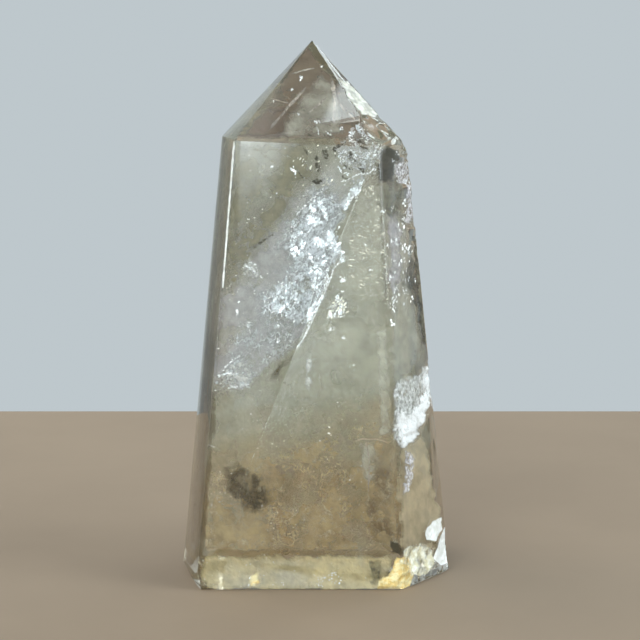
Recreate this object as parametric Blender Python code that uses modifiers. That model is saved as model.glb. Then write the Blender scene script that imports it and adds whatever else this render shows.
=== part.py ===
"""A polished quartz tower: one crystal with six tapering sides and a six-sided point.

It stands on a flat cut base. Lapidary facets are cut from a block one plane at a time. The right-hand edge
keeps the crystal's natural rough skin, and small shell-shaped chips break the shoulder and the base.
Metres, +Z up. The origin is on the base, under the middle of the tower's bounding box.
"""

import math

import bmesh
import bpy
from mathutils import Matrix, Vector, noise

MM = 0.001
NAME = "quartz_tower"

# The tip. Every facet of the point passes through it before the edges are softened.
APEX = Vector((-0.7, 0.0, 115.3)) * MM

# Sides of the body: bearing of the outward normal (degrees anticlockwise from +X), reach from the
# origin at the base, and inward lean in degrees.
SIDES = {
    "front": (270.0, 20.8 * MM, 3.9),
    "right_front": (325.9, 27.4 * MM, 5.05),
    "right_back": (25.4, 24.1 * MM, 5.35),
    "back": (90.0, 20.8 * MM, 3.9),
    "left_back": (152.7, 26.15 * MM, 4.0),
    "left_front": (190.5, 28.75 * MM, 5.75),
}

# Facets of the point: bearing of the outward normal, and slope below the horizontal, in degrees.
POINT_FACETS = {
    "front": (271.6, 55.7),
    "right_front": (328.1, 47.6),
    "right_back": (25.0, 54.5),
    "back": (89.2, 56.2),
    "left_back": (150.9, 47.9),
    "left_front": (189.4, 47.9),
}

BLOCK_SIZE = Vector((80.0, 70.0, 120.0)) * MM
BASE_CHAMFER = 0.8 * MM
EDGE_ROUNDING = 0.2 * MM
EDGE_SEGMENTS = 2
EDGE_ANGLE = 12.0
MERGE_DISTANCE = 0.01 * MM
SAME_PLACE = 0.0001 * MM

# Small facets that ease the base: a point on each, the bearing of its outward normal and its tilt.
BASE_FACETS = {
    "front_left_corner": (Vector((-24.1, -20.8, 0.0)) * MM, 197.7, -10.7),
    "right_front_undercut": (Vector((24.2, -13.2, 0.0)) * MM, 327.0, -38.0),
}

# Natural skin: hollows below the polished plane whose floors are broken into plates and grains.
# Cutters of cells this wide stand clear of the plane outside the hollows, and are this thick.
SKIN_CELL = 0.8 * MM
SKIN_CLEARANCE = 0.3 * MM
SKIN_BACKING = 3.0 * MM

# A floor's lowest level and the spread of its plates' levels, as shares of the hollow's depth, and how
# much of that depth the floor always keeps. Seeds tell the plates' tilts, levels and rims apart.
PLATE_SIZE = 2.3 * MM
PLATE_LOWEST = 0.25
PLATE_SPREAD = 0.5
PLATE_TILT = 0.9
TILT_SEED = 7.3
LEVEL_SEED = 5.1
GRAIN_SIZE = 1.1 * MM
GRAIN_HEIGHT = 0.15
FLOOR_SHARE = 0.45

# A hollow's rim wanders by RIM_RAGGEDNESS and climbs over SHELF_WIDTH, in millimetres.
RIM_SEED = Vector((3.1, 5.7, 1.3))
RIM_RAGGEDNESS = 0.9
SHELF_WIDTH = 0.9

# A hollow is an outline on its own plane (across, up) and a depth, all in millimetres.
SKINS = {
    "skin_right_front": {
        "plane": SIDES["right_front"],
        "across": (-5.4 * MM, 12.0 * MM),
        "up": (17.0 * MM, 92.5 * MM),
        "hollows": [
            ([(1.2, 91.0), (7.6, 91.8), (8.0, 85.5), (3.8, 84.8), (0.6, 87.2)], 0.95),
            ([(-1.6, 81.8), (2.4, 83.2), (8.6, 83.4), (9.0, 75.5), (3.0, 76.0), (-1.4, 79.0)], 0.7),
            ([(4.6, 75.0), (9.0, 75.0), (9.0, 66.5), (6.0, 67.0)], 0.5),
            ([(2.0, 64.6), (4.6, 64.8), (4.2, 61.4), (2.4, 61.6)], 0.3),
            ([(3.4, 45.0), (10.6, 48.2), (10.8, 36.6), (6.8, 33.8), (2.4, 38.6)], 0.75),
            ([(-3.9, 36.6), (2.2, 37.2), (6.2, 33.6), (2.4, 28.2), (-3.8, 30.4)], 0.55),
            ([(-3.2, 28.4), (-0.8, 28.0), (-2.6, 19.0), (-4.0, 19.6)], 0.35),
        ],
    },
    "skin_right_edge": {
        "plane": (355.65, 30.05 * MM, 6.05),
        "across": (-10.0 * MM, -1.0 * MM),
        "up": (28.0 * MM, 92.5 * MM),
        "hollows": [
            ([(-9.0, 91.6), (-3.0, 91.6), (-3.4, 84.6), (-8.4, 85.4)], 1.35),
            ([(-8.6, 82.6), (-3.4, 82.6), (-3.8, 67.0), (-7.0, 68.0)], 1.05),
            ([(-7.8, 47.0), (-3.6, 46.0), (-3.2, 33.0), (-7.6, 34.0)], 1.1),
        ],
    },
}

# Shell-shaped chips: middle on the surface, the way it faces (bearing and tilt), half length,
# half width and depth in millimetres, and the turn of its length about that facing in degrees.
CHIPS = {
    "chip_ridge_main": ((12.3, -11.1, 97.0), (312.0, 41.0), (4.2, 3.3, 1.2), -40.0),
    "chip_ridge_top": ((10.9, -9.6, 99.0), (318.0, 42.0), (2.1, 1.6, 0.6), 10.0),
    "chip_ridge_front": ((8.7, -12.7, 96.5), (282.0, 37.0), (2.7, 2.0, 0.6), 35.0),
    "chip_ridge_right": ((15.0, -7.1, 96.7), (328.0, 42.0), (2.7, 1.9, 0.6), -35.0),
    "chip_ridge_nick": ((14.2, -4.3, 99.2), (352.0, 43.0), (1.6, 1.2, 0.7), 50.0),
    "chip_front_shoulder": ((13.2, -14.6, 93.7), (298.0, 24.0), (2.1, 1.3, 0.6), 30.0),
    "chip_right_shoulder": ((19.4, -6.4, 92.6), (348.0, 22.0), (2.7, 2.2, 1.15), 80.0),
    "chip_right_oval": ((25.2, -10.0, 10.6), (326.0, 5.0), (2.8, 2.1, 0.5), 52.0),
    "chip_right_sliver": ((27.7, -7.3, 4.8), (334.0, 3.0), (6.0, 2.7, 0.8), 84.0),
    "chip_right_low_a": ((20.9, -16.8, 6.2), (324.0, 3.0), (3.3, 2.3, 0.55), 68.0),
    "chip_right_low_b": ((23.0, -13.8, 5.7), (327.0, 6.0), (3.0, 2.3, 0.5), 118.0),
    "chip_right_low_c": ((24.9, -11.2, 4.9), (326.0, 2.0), (2.6, 2.0, 0.45), 55.0),
    "chip_right_base_a": ((20.8, -17.8, 2.0), (320.0, -6.0), (3.4, 2.4, 0.6), 15.0),
    "chip_right_base_b": ((23.5, -13.9, 2.0), (326.0, -6.0), (3.2, 2.3, 0.6), -20.0),
    "chip_right_base_c": ((26.0, -10.3, 1.7), (328.0, -12.0), (2.9, 1.9, 0.6), 5.0),
    "chip_base_corner": ((18.9, -20.5, 1.7), (300.0, -4.0), (2.5, 2.1, 0.75), 65.0),
    "chip_base_back": ((5.5, 20.7, 0.5), (92.0, -18.0), (3.8, 1.7, 0.7), 0.0),
    "chip_back_edge": ((-18.3, 19.4, 30.0), (122.0, 2.0), (2.6, 1.2, 0.5), 90.0),
}
CHIP_SUBDIVISIONS = 3
CHIP_STEEPNESS = 2.3
RIPPLE_PITCH = 1.0 * MM
RIPPLE_HEIGHT = 0.05 * MM
LUMP_SIZE = 1.9 * MM
LUMP_HEIGHT = 0.2 * MM


def outward(bearing, tilt):
    """Unit vector at a bearing, turned up from the horizontal by tilt, both in degrees."""
    b = math.radians(bearing)
    t = math.radians(tilt)
    return Vector((math.cos(b) * math.cos(t), math.sin(b) * math.cos(t), math.sin(t)))


def cut_flat(bm, point, normal):
    """Removes what lies beyond a plane and closes the cut with one flat face."""
    everything = bm.verts[:] + bm.edges[:] + bm.faces[:]
    cut = bmesh.ops.bisect_plane(
        bm, geom=everything, dist=SAME_PLACE, plane_co=point, plane_no=normal, clear_outer=True
    )
    rim = [item for item in cut["geom_cut"] if isinstance(item, bmesh.types.BMEdge)]
    bmesh.ops.edgeloop_fill(bm, edges=rim)


def cut_crystal():
    """The block with its sides, point facets, base chamfer and base facets cut."""
    bm = bmesh.new()
    bmesh.ops.create_cube(bm, size=1.0)
    bmesh.ops.scale(bm, vec=BLOCK_SIZE, verts=bm.verts[:])
    bmesh.ops.translate(bm, vec=(0, 0, BLOCK_SIZE.z / 2), verts=bm.verts[:])
    for bearing, reach, lean in SIDES.values():
        cut_flat(bm, outward(bearing, 0) * reach, outward(bearing, lean))
    for bearing, slope in POINT_FACETS.values():
        cut_flat(bm, APEX, outward(bearing, 90 - slope))
    base_edges = [e for e in bm.edges if all(abs(v.co.z) < SAME_PLACE for v in e.verts)]
    bmesh.ops.bevel(bm, geom=base_edges, offset=BASE_CHAMFER, segments=1, affect="EDGES")
    for point, bearing, tilt in BASE_FACETS.values():
        cut_flat(bm, point, outward(bearing, tilt))
    bmesh.ops.recalc_face_normals(bm, faces=bm.faces[:])
    return bm


def new_object(name, bm, collection):
    mesh = bpy.data.meshes.new(name)
    bm.to_mesh(mesh)
    bm.free()
    made = bpy.data.objects.new(name, mesh)
    collection.objects.link(made)
    return made


def new_cutter(name, bm, collection):
    cutter = new_object(name, bm, collection)
    cutter.hide_render = True
    cutter.display_type = "WIRE"
    return cutter


def plates(point):
    """Depth of a broken floor at a place, from 0 to 1: each plate is flat and tilts its own way."""
    spot = point / PLATE_SIZE
    centre = noise.voronoi(spot)[1][0]
    tilt = noise.cell_vector(centre * TILT_SEED) - Vector((0.5, 0.5, 0.5))
    level = PLATE_LOWEST + PLATE_SPREAD * noise.cell(centre * LEVEL_SEED)
    grain = noise.noise(point / GRAIN_SIZE) * GRAIN_HEIGHT
    height = level + (spot - centre).dot(tilt) * PLATE_TILT + grain
    return min(1.0, max(0.0, height))


def distance_inside(across, up, outline):
    """Distance from a place to the nearest side of an outline, or less than 0 outside it."""
    nearest = math.inf
    inside = False
    for (ax, ay), (bx, by) in zip(outline, outline[1:] + outline[:1]):
        run, climb = bx - ax, by - ay
        along = ((across - ax) * run + (up - ay) * climb) / (run * run + climb * climb)
        along = min(1.0, max(0.0, along))
        off = math.hypot(across - ax - along * run, up - ay - along * climb)
        nearest = min(nearest, off)
        if (ay > up) != (by > up) and across < ax + (up - ay) * run / climb:
            inside = not inside
    return nearest if inside else -nearest


def hollow_depth(hollows, place):
    """Full depth of the hollow at a place on the plane, easing up a narrow shelf at its rim."""
    ragged = noise.noise(place / PLATE_SIZE + RIM_SEED) * RIM_RAGGEDNESS
    deepest = 0.0
    for outline, depth in hollows:
        in_from_rim = distance_inside(place.x / MM, place.y / MM, outline) + ragged
        deepest = max(deepest, depth * MM * min(1.0, max(0.0, in_from_rim / SHELF_WIDTH)))
    return deepest


def skin_cutter(name, skin, collection):
    """A slab outside a plane whose inner side is the rough skin, so it cuts only at the hollows."""
    bearing, reach, lean = skin["plane"]
    across, up = skin["across"], skin["up"]
    width = across[1] - across[0]
    height = up[1] - up[0]
    bm = bmesh.new()
    bmesh.ops.create_grid(
        bm, x_segments=round(width / SKIN_CELL), y_segments=round(height / SKIN_CELL), size=0.5
    )
    bmesh.ops.scale(bm, vec=(width, height, 1), verts=bm.verts[:])
    middle = (across[0] + width / 2, up[0] + height / 2, 0)
    bmesh.ops.translate(bm, vec=middle, verts=bm.verts[:])
    inner = bm.verts[:]
    raised = bmesh.ops.extrude_face_region(bm, geom=bm.faces[:])
    outer = [v for v in raised["geom"] if isinstance(v, bmesh.types.BMVert)]
    bmesh.ops.translate(bm, vec=(0, 0, SKIN_BACKING), verts=outer)
    for vert in inner:
        depth = hollow_depth(skin["hollows"], vert.co)
        floor = FLOOR_SHARE + (1 - FLOOR_SHARE) * plates(vert.co)
        vert.co.z = SKIN_CLEARANCE - (depth + SKIN_CLEARANCE) * floor if depth else SKIN_CLEARANCE
    bmesh.ops.recalc_face_normals(bm, faces=bm.faces[:])
    out = outward(bearing, lean)
    side = Vector((-math.sin(math.radians(bearing)), math.cos(math.radians(bearing)), 0))
    turn = Matrix((side, out.cross(side), out)).transposed().to_4x4()
    place = Matrix.Translation(outward(bearing, 0) * reach) @ turn
    bmesh.ops.transform(bm, matrix=place, verts=bm.verts[:])
    return new_cutter(name, bm, collection)


def chip_cutter(name, middle, facing, size, turn, collection):
    """A lumpy shell with the shallow rings that a break leaves in glassy stone."""
    half_length, half_width, depth = size
    thick = depth * CHIP_STEEPNESS
    spread = 1 / math.sqrt(1 - (1 - 1 / CHIP_STEEPNESS) ** 2)
    radii = Vector((half_length * spread, half_width * spread, thick)) * MM
    bm = bmesh.new()
    bmesh.ops.create_icosphere(bm, subdivisions=CHIP_SUBDIVISIONS, radius=1.0)
    struck = Vector((-radii.x, 0, 0))
    for vert in bm.verts:
        place = Vector(a * b for a, b in zip(vert.co, radii))
        rings = math.cos((place - struck).length / RIPPLE_PITCH * 2 * math.pi)
        lumps = noise.noise(place / LUMP_SIZE + Vector(middle))
        vert.co = place + vert.co * (RIPPLE_HEIGHT * rings + LUMP_HEIGHT * lumps)
    out = outward(*facing)
    pose = (
        Matrix.Translation(Vector(middle) * MM + out * (radii.z - depth * MM))
        @ out.to_track_quat("Z", "Y").to_matrix().to_4x4()
        @ Matrix.Rotation(math.radians(turn), 4, "Z")
    )
    bmesh.ops.transform(bm, matrix=pose, verts=bm.verts[:])
    return new_cutter(name, bm, collection)


def crystal_material():
    """Clear quartz with a pale smoky citrine tint."""
    made = bpy.data.materials.new("smoky_citrine")
    made.use_nodes = True
    shader = made.node_tree.nodes["Principled BSDF"]
    shader.inputs["Base Color"].default_value = (0.62, 0.58, 0.42, 1)
    shader.inputs["Roughness"].default_value = 0.03
    shader.inputs["Metallic"].default_value = 0.0
    shader.inputs["IOR"].default_value = 1.544
    shader.inputs["Transmission Weight"].default_value = 1.0
    return made


def subtract(tower, cutter):
    cut = tower.modifiers.new(cutter.name, "BOOLEAN")
    cut.operation = "DIFFERENCE"
    cut.solver = "EXACT"
    cut.object = cutter


def main():
    for old in list(bpy.data.objects):
        bpy.data.objects.remove(old)
    parts = bpy.data.collections.new(NAME)
    cutters = bpy.data.collections.new("cutters")
    bpy.context.scene.collection.children.link(parts)
    bpy.context.scene.collection.children.link(cutters)

    tower = new_object(NAME, cut_crystal(), parts)
    tower.data.materials.append(crystal_material())
    soften = tower.modifiers.new("soft_edges", "BEVEL")
    soften.width = EDGE_ROUNDING
    soften.segments = EDGE_SEGMENTS
    soften.limit_method = "ANGLE"
    soften.angle_limit = math.radians(EDGE_ANGLE)
    close_corners = tower.modifiers.new("close_corners", "WELD")
    close_corners.merge_threshold = MERGE_DISTANCE

    for name, skin in SKINS.items():
        subtract(tower, skin_cutter(name, skin, cutters))
    for name, (middle, facing, size, turn) in CHIPS.items():
        subtract(tower, chip_cutter(name, middle, facing, size, turn, cutters))


main()
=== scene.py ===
"""Looks of the quartz tower: a hazy, pale smoky citrine crystal with fractures and veils inside it.

Metres, +Z up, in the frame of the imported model: the tower stands on Z = 0 with its broad face towards -Y.
What lies inside the crystal is placed by where it shows in the front view, a picture 640 pixels square:
a sight line runs from the camera to one of the crystal's faces, bends there as light does in quartz, and
goes on to a depth behind the face. So outlines and lines are in pixels, and depths in millimetres.
"""

import random
from math import atan2, cos, dist, hypot, pi, radians, sin, sqrt, tan, tau

import bmesh
import bpy
from mathutils import Matrix, Vector, noise
from mathutils.bvhtree import BVHTree


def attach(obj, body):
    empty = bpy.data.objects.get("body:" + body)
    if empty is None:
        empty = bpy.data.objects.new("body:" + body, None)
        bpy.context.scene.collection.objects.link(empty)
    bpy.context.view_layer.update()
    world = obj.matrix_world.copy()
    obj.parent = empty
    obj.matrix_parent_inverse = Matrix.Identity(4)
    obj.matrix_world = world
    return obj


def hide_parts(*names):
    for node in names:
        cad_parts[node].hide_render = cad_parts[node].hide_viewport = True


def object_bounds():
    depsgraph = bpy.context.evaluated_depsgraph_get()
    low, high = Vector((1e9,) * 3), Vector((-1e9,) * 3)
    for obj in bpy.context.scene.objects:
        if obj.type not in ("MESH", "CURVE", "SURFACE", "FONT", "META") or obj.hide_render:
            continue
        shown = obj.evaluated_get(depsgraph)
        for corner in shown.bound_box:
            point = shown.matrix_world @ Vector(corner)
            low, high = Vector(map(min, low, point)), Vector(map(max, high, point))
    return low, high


MM = 0.001
NODE = "quartz_tower"
BODY = "root"

# Camera: its place, how far it looks down, in degrees, and its lens.
CAMERA_PLACE = Vector((1.0, -481.2, 130.0)) * MM
CAMERA_DOWN = 8.873
CAMERA_LENS = 125.84
SENSOR_WIDTH = 36.0
PICTURE_WIDTH = 640

# The room's two windows, each at (bearing, height) in degrees.
WINDOW = (256.0, 27.0)
SIDE_WINDOW = (336.0, 27.0)

# Quartz's refractive index, and the polished faces: each one's bearing, its lean back from upright, a
# point on it, in millimetres, and the window that flakes behind it catch.
QUARTZ_IOR = 1.544
FRONT = (270.0, 3.9, (0.0, -20.8, 0.0), WINDOW)
RIGHT = (325.9, 5.05, (22.69, -15.36, 0.0), SIDE_WINDOW)
TIP = (271.6, 34.3, (-0.7, 0.0, 115.3), WINDOW)
TIP_RIGHT = (328.1, 42.4, (-0.7, 0.0, 115.3), WINDOW)
BACK_RIGHT = (355.65, 6.05, (29.96, -2.28, 0.0), SIDE_WINDOW)

# A pixel's size at the crystal, how far inner pieces keep behind the surface, how far a film stands proud
# of it, the longest side of a film's faces, beyond which it tears, and how far out, in millimetres, the
# lines start that place a film from the side.
PIXEL = 0.213 * MM
SKIN_MARGIN = 0.25 * MM
FILM_LIFT = 0.03 * MM
FILM_TEAR = 1.4 * MM
CAST_FROM = 60

# Sheets and films, in pixels: how far the mesh reaches past the outline, the size and height of a sheet's
# ragged rim, the size of a film's, and how wide the soft edge of each one's core is. The noise moves by a
# step for each letter of a piece's name, so that pieces aren't torn alike.
GRID_MARGIN = 3
SHEET_RAGGED = (9, 3)
FILM_RAGGED = 6
SHEET_CORE_EDGE = 16
FILM_CORE_EDGE = 4
SHEET_STEP = 31.7
FILM_STEP = 17.3

# Flakes: how far a slant strays, in degrees, and for those of lines and specks how far they are off the
# way that catches the window, how drawn out they are, and how many make a pixel of a line and a speck.
SLANT_SPREAD = 14
LINE_TILT = 5
LINE_STRETCH = 2.4
SPECK_STRETCH = 1.5
FLAKES_PER_PIXEL = 1.3
FLAKES_PER_SPECK = 7

# The floor, a table top: its half width, its front and back, how far it lies below the base, its colours.
FLOOR_HALF_WIDTH = 0.42
FLOOR_FRONT = -0.75
FLOOR_BACK = 0.175
FLOOR_DROP = 0.05 * MM
FLOOR_DARK = (0.236, 0.174, 0.117)
FLOOR_PALE = (0.254, 0.188, 0.127)

# The room: the wall's colour and the far floor's, and how far below level, in degrees, the one turns into
# the other. Each of ROOM_LIGHTS is a brighter or darker place: (bearing, height, half width, strength). It
# fades out between the two shares of its half width in LIGHT_EDGE.
WALL = (0.515, 0.575, 0.605)
FAR_FLOOR = (0.27, 0.215, 0.15)
FAR_FLOOR_EDGE = (14, 19)
LIGHT_EDGE = (1.25, 0.75)
ROOM_LIGHTS = [
    (*WINDOW, 17, 9),
    (228, 9.5, 8, 16),
    (230, 50, 24, 2),
    (*SIDE_WINDOW, 16, 9),
    (350, 32, 18, 3),
    (50, 30, 10, 8),
    (90, 84, 26, -0.35),
    (124, -6, 20, -0.6),
    (274, -7, 14, -0.4),
]

# The lamp's place, and where it points.
LAMP_PLACE = Vector((-0.9, 0.35, 1.1))
LAMP_AIM = Vector((0, 0, 0.05))

# The haze: its colours, its shells as (name, share of the crystal's width and depth, foot, top, thinnest
# and thickest cover), in millimetres, and the size of their faces and of their waves.
HAZE_PALE = (0.76, 0.77, 0.63)
HAZE_BROWN = (0.68, 0.51, 0.24)
HAZE_TIP = (0.56, 0.45, 0.32)
HAZE_SHELLS = [
    ("haze_outer", (0.92, 0.89), 3, 107, (0.1, 0.34)),
    ("haze_middle", (0.74, 0.68), 5, 98, (0.18, 0.48)),
    ("haze_inner", (0.42, 0.36), 12, 86, (0.3, 0.66)),
]
HAZE_CELL = 1.6 * MM
HAZE_WAVE = 14

# The rough skin keeps this far below the two polished planes that it broke from, between these heights.
SKIN_PLANES = [RIGHT, BACK_RIGHT]
SKIN_DEPTH = (0.15 * MM, 2.0 * MM)
SKIN_HEIGHTS = (17.0 * MM, 93.0 * MM)

# From this angle on, in degrees, an edge of the crystal looks sharp.
SHARP_ANGLE = 24

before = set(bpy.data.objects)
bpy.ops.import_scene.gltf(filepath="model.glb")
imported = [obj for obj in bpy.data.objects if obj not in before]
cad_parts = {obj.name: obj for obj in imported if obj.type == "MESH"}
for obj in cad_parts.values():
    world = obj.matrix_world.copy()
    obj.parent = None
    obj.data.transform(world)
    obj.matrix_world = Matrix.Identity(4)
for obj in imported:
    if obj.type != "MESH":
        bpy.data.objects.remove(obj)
cad_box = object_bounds()


# ---- nodes


def feed(made, key, value):
    """Sets a node's input, or links it to another node's output."""
    socket = made.inputs[key]
    if isinstance(value, bpy.types.NodeSocket):
        made.id_data.links.new(value, socket)
    else:
        socket.default_value = (*value, 1) if socket.type == "RGBA" else value


def add_node(tree, kind, inputs, **settings):
    made = tree.nodes.new(f"ShaderNode{kind}")
    for setting, value in settings.items():
        setattr(made, setting, value)
    for key, value in inputs.items():
        feed(made, key, value)
    return made


def new_material(name, roughness=0.5, metallic=0.0):
    made = bpy.data.materials.new(name)
    made.use_nodes = True
    shader = made.node_tree.nodes["Principled BSDF"]
    feed(shader, "Roughness", roughness)
    feed(shader, "Metallic", metallic)
    return made, made.node_tree, shader


def object_place(tree, turn, stretch):
    """Object coordinates in millimetres, turned in the front face's plane and drawn out along it."""
    place = add_node(tree, "TexCoord", {}).outputs["Object"]
    turned = add_node(tree, "Mapping", {"Vector": place, "Rotation": (0, radians(turn), 0)})
    sized = {"Vector": turned.outputs["Vector"], "Scale": (1 / MM / stretch, 1 / MM, 1 / MM)}
    return add_node(tree, "Mapping", sized).outputs["Vector"]


def noise_texture(tree, scale, detail=4.0, roughness=0.55, distortion=0.0, turn=0.0, stretch=1.0):
    """Noise with about scale features to a millimetre."""
    place = object_place(tree, turn, stretch)
    inputs = {"Vector": place, "Scale": scale, "Detail": detail, "Roughness": roughness}
    return add_node(tree, "TexNoise", {**inputs, "Distortion": distortion}).outputs["Fac"]


def wisps(tree, size, turn, stretch):
    """Thin broken threads, 1 on a thread and 0 off it: where noise passes through its middle."""
    threads = noise_texture(tree, size, 5, 0.6, 0.3, turn, stretch)
    breaks = noise_texture(tree, size * 0.8, 3, 0.5)
    drawn = ramp(threads, [(0.465, 0.0), (0.5, 1.0), (0.535, 0.0)])
    return maths("MULTIPLY", drawn, ramp(breaks, [(0.42, 0.0), (0.58, 1.0)]))


def ramp(source, stops):
    """A colour ramp; each stop is (position, grey or colour)."""
    made = add_node(source.id_data, "ValToRGB", {"Fac": source})
    made.color_ramp.interpolation = "EASE"
    elements = made.color_ramp.elements
    while len(elements) < len(stops):
        elements.new(0.5)
    for element, (position, value) in zip(elements, stops):
        element.position = position
        element.color = (value,) * 3 + (1,) if isinstance(value, float) else (*value, 1)
    return made.outputs["Color"]


def maths(operation, first, second):
    inputs = {0: first, 1: second}
    made = add_node(first.id_data, "Math", inputs, operation=operation, use_clamp=True)
    return made.outputs["Value"]


def attribute(tree, name):
    return add_node(tree, "Attribute", {}, attribute_name=name).outputs["Fac"]


def mix_colour(factor, first, second):
    """Mixes two colours: a Mix node's inputs 6 and 7 and its output 2 are for colours."""
    inputs = {"Factor": factor, 6: first, 7: second}
    return add_node(factor.id_data, "Mix", inputs, data_type="RGBA").outputs[2]


def height_above(tree, high, low):
    """0 at low and 1 at high, in millimetres up the tower."""
    place = add_node(tree, "TexCoord", {}).outputs["Object"]
    height = add_node(tree, "SeparateXYZ", {"Vector": place}).outputs["Z"]
    span = {"Value": height, "From Min": low * MM, "From Max": high * MM}
    return add_node(tree, "MapRange", span).outputs["Result"]


def mottle(shader, colour, shade, stops, scale, detail, turn=0.0, stretch=1.0):
    """Base colour in soft patches: a darker shade up to the first stop, the colour from the second on."""
    darker = tuple(c * shade for c in colour)
    patches = noise_texture(shader.id_data, scale, detail, turn=turn, stretch=stretch)
    feed(shader, "Base Color", ramp(patches, [(stops[0], darker), (stops[1], colour)]))


def bump(shader, height, distance):
    made = add_node(shader.id_data, "Bump", {"Height": height, "Distance": distance})
    feed(shader, "Normal", made.outputs["Normal"])


# ---- places inside the crystal


def outward(bearing, tilt):
    b, t = radians(bearing), radians(tilt)
    return Vector((cos(b) * cos(t), sin(b) * cos(t), sin(t)))


def bend(direction, out):
    """A ray's direction after it goes into quartz through a face."""
    ratio = 1 / QUARTZ_IOR
    facing = -direction.dot(out)
    return direction * ratio + out * (ratio * facing - sqrt(1 - ratio**2 * (1 - facing**2)))


def sight(px, py):
    """Direction from the camera through a place in the picture."""
    focal = CAMERA_LENS / SENSOR_WIDTH * PICTURE_WIDTH
    down = radians(CAMERA_DOWN)
    ahead = Vector((0, cos(down), -sin(down)))
    above = Vector((0, sin(down), cos(down)))
    middle = PICTURE_WIDTH / 2
    ray = ahead * focal + Vector((1, 0, 0)) * (px - middle) + above * (middle - py)
    return ray.normalized()


def behind(face, px, py, depth):
    """The point that shows at a place in the picture through a face, depth mm behind it."""
    out = outward(*face[:2])
    ray = sight(px, py)
    reach = (Vector(face[2]) * MM - CAMERA_PLACE).dot(out) / ray.dot(out)
    bent = bend(ray, out)
    return CAMERA_PLACE + ray * reach + bent * (depth * MM / -bent.dot(out))


def catching(pick, face, px, py, tilt=LINE_TILT):
    """The way that a flake behind a face turns to show the camera its window, about tilt degrees off."""
    out = outward(*face[:2])
    straight = -(bend(sight(px, py), out) + bend(-outward(*face[3]), out)).normalized()
    amount = tan(radians(tilt))
    return (straight + Vector([pick.gauss(0, amount) for _ in range(3)])).normalized()


def clamp(value):
    return min(1.0, max(0.0, value))


def distance_to(px, py, start, end):
    """Distance from a place to the line between two others."""
    run, climb = end[0] - start[0], end[1] - start[1]
    along = clamp(((px - start[0]) * run + (py - start[1]) * climb) / (run * run + climb * climb))
    return hypot(px - start[0] - along * run, py - start[1] - along * climb)


def distance_inside(px, py, outline):
    """Distance from a place to the nearest side of an outline, negative outside it."""
    sides = list(zip(outline, outline[1:] + outline[:1]))
    nearest = min(distance_to(px, py, start, end) for start, end in sides)
    crossed = sum((ay > py) != (by > py) and px < ax + (py - ay) * (bx - ax) / (by - ay)
                  for (ax, ay), (bx, by) in sides)
    return nearest if crossed % 2 else -nearest


def rough_noise(place, size, octaves=4):
    return noise.fractal(place / size, 0.9, 2.1, octaves, noise_basis="PERLIN_ORIGINAL")


def crystal_bmesh():
    """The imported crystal, with its faces joined at their corners."""
    bm = bmesh.new()
    bm.from_mesh(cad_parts[NODE].data)
    bmesh.ops.remove_doubles(bm, verts=bm.verts[:], dist=1e-7)
    return bm


SURFACE = BVHTree.FromBMesh(crystal_bmesh())


def add_object(name, data):
    made = bpy.data.objects.new(name, data)
    bpy.context.scene.collection.objects.link(made)
    return made


def mesh_object(name, bm, material):
    mesh = bpy.data.meshes.new(name)
    bm.to_mesh(mesh)
    bm.free()
    mesh.materials.append(material)
    return add_object(name, mesh)


def finish_piece(name, bm, material, inner=True):
    """Makes a piece. Its rim and core are 1 if not given, and an inner one is kept inside the crystal."""
    for share in ("rim", "core"):
        if not bm.verts.layers.float.get(share):
            layer = bm.verts.layers.float.new(share)
            for vert in bm.verts:
                vert[layer] = 1.0
    for vert in bm.verts if inner else []:
        nearest, normal, _, _ = SURFACE.find_nearest(vert.co)
        if (vert.co - nearest).dot(normal) > -SKIN_MARGIN:
            vert.co = nearest - normal * SKIN_MARGIN
    piece = mesh_object(name, bm, material)
    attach(piece, BODY)
    return piece


def extent(outline, margin=0):
    """The lowest and highest corner of the box round an outline, with a margin."""
    low = [min(p[i] for p in outline) - margin for i in range(2)]
    high = [max(p[i] for p in outline) + margin for i in range(2)]
    return low, high


def outline_grid(name, outline, cell, step):
    """A grid over an outline, its rim and core layers, and (vertex, across, down, place in the noise)s."""
    low, high = extent(outline, GRID_MARGIN)
    counts = [max(2, round((high[i] - low[i]) / cell)) for i in range(2)]
    bm = bmesh.new()
    bmesh.ops.create_grid(bm, x_segments=counts[0], y_segments=counts[1], size=0.5)
    layers = [bm.verts.layers.float.new(share) for share in ("rim", "core")]
    shift = Vector((len(name) * step, *outline[0]))
    places = []
    for vert in bm.verts:
        px, py = (low[i] + (vert.co[i] + 0.5) * (high[i] - low[i]) for i in range(2))
        places.append((vert, px, py, Vector((px, py, 0)) + shift))
    return bm, layers, places


def sheet(name, outline, depth, material, cell=1.2, fade=4, crumple=(0.8, 14), face=FRONT, core=None,
          soft=None):
    """A thin ragged sheet inside the crystal, such as a healed fracture.

    cell is the mesh's spacing and fade how far in from the rim the sheet thins out, in pixels. crumple is
    (height in mm, size in pixels) of its folds. soft is (pixels, points): the sheet fades out over that
    many pixels towards the line through those points.
    """
    bm, (rim_layer, core_layer), places = outline_grid(name, outline, cell, SHEET_STEP)
    ragged_size, ragged_height = SHEET_RAGGED
    height, size = crumple
    outside = []
    for vert, px, py, place in places:
        ragged = rough_noise(place, ragged_size, 3) * ragged_height
        inside = distance_inside(px, py, outline) + ragged
        if inside < 0:
            outside.append(vert)
            continue
        vert[rim_layer] = clamp(inside / fade)
        if soft:
            width, line = soft
            away = min(distance_to(px, py, start, end) for start, end in zip(line, line[1:]))
            vert[rim_layer] *= min(1.0, away / width)
        vert[core_layer] = 1.0
        if core:
            within = distance_inside(px, py, core) + ragged * 3
            vert[core_layer] = clamp(within / SHEET_CORE_EDGE + 0.5)
        vert.co = behind(face, px, py, depth + rough_noise(place, size) * height)
    bmesh.ops.delete(bm, geom=outside, context="VERTS")
    return finish_piece(name, bm, material)


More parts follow.
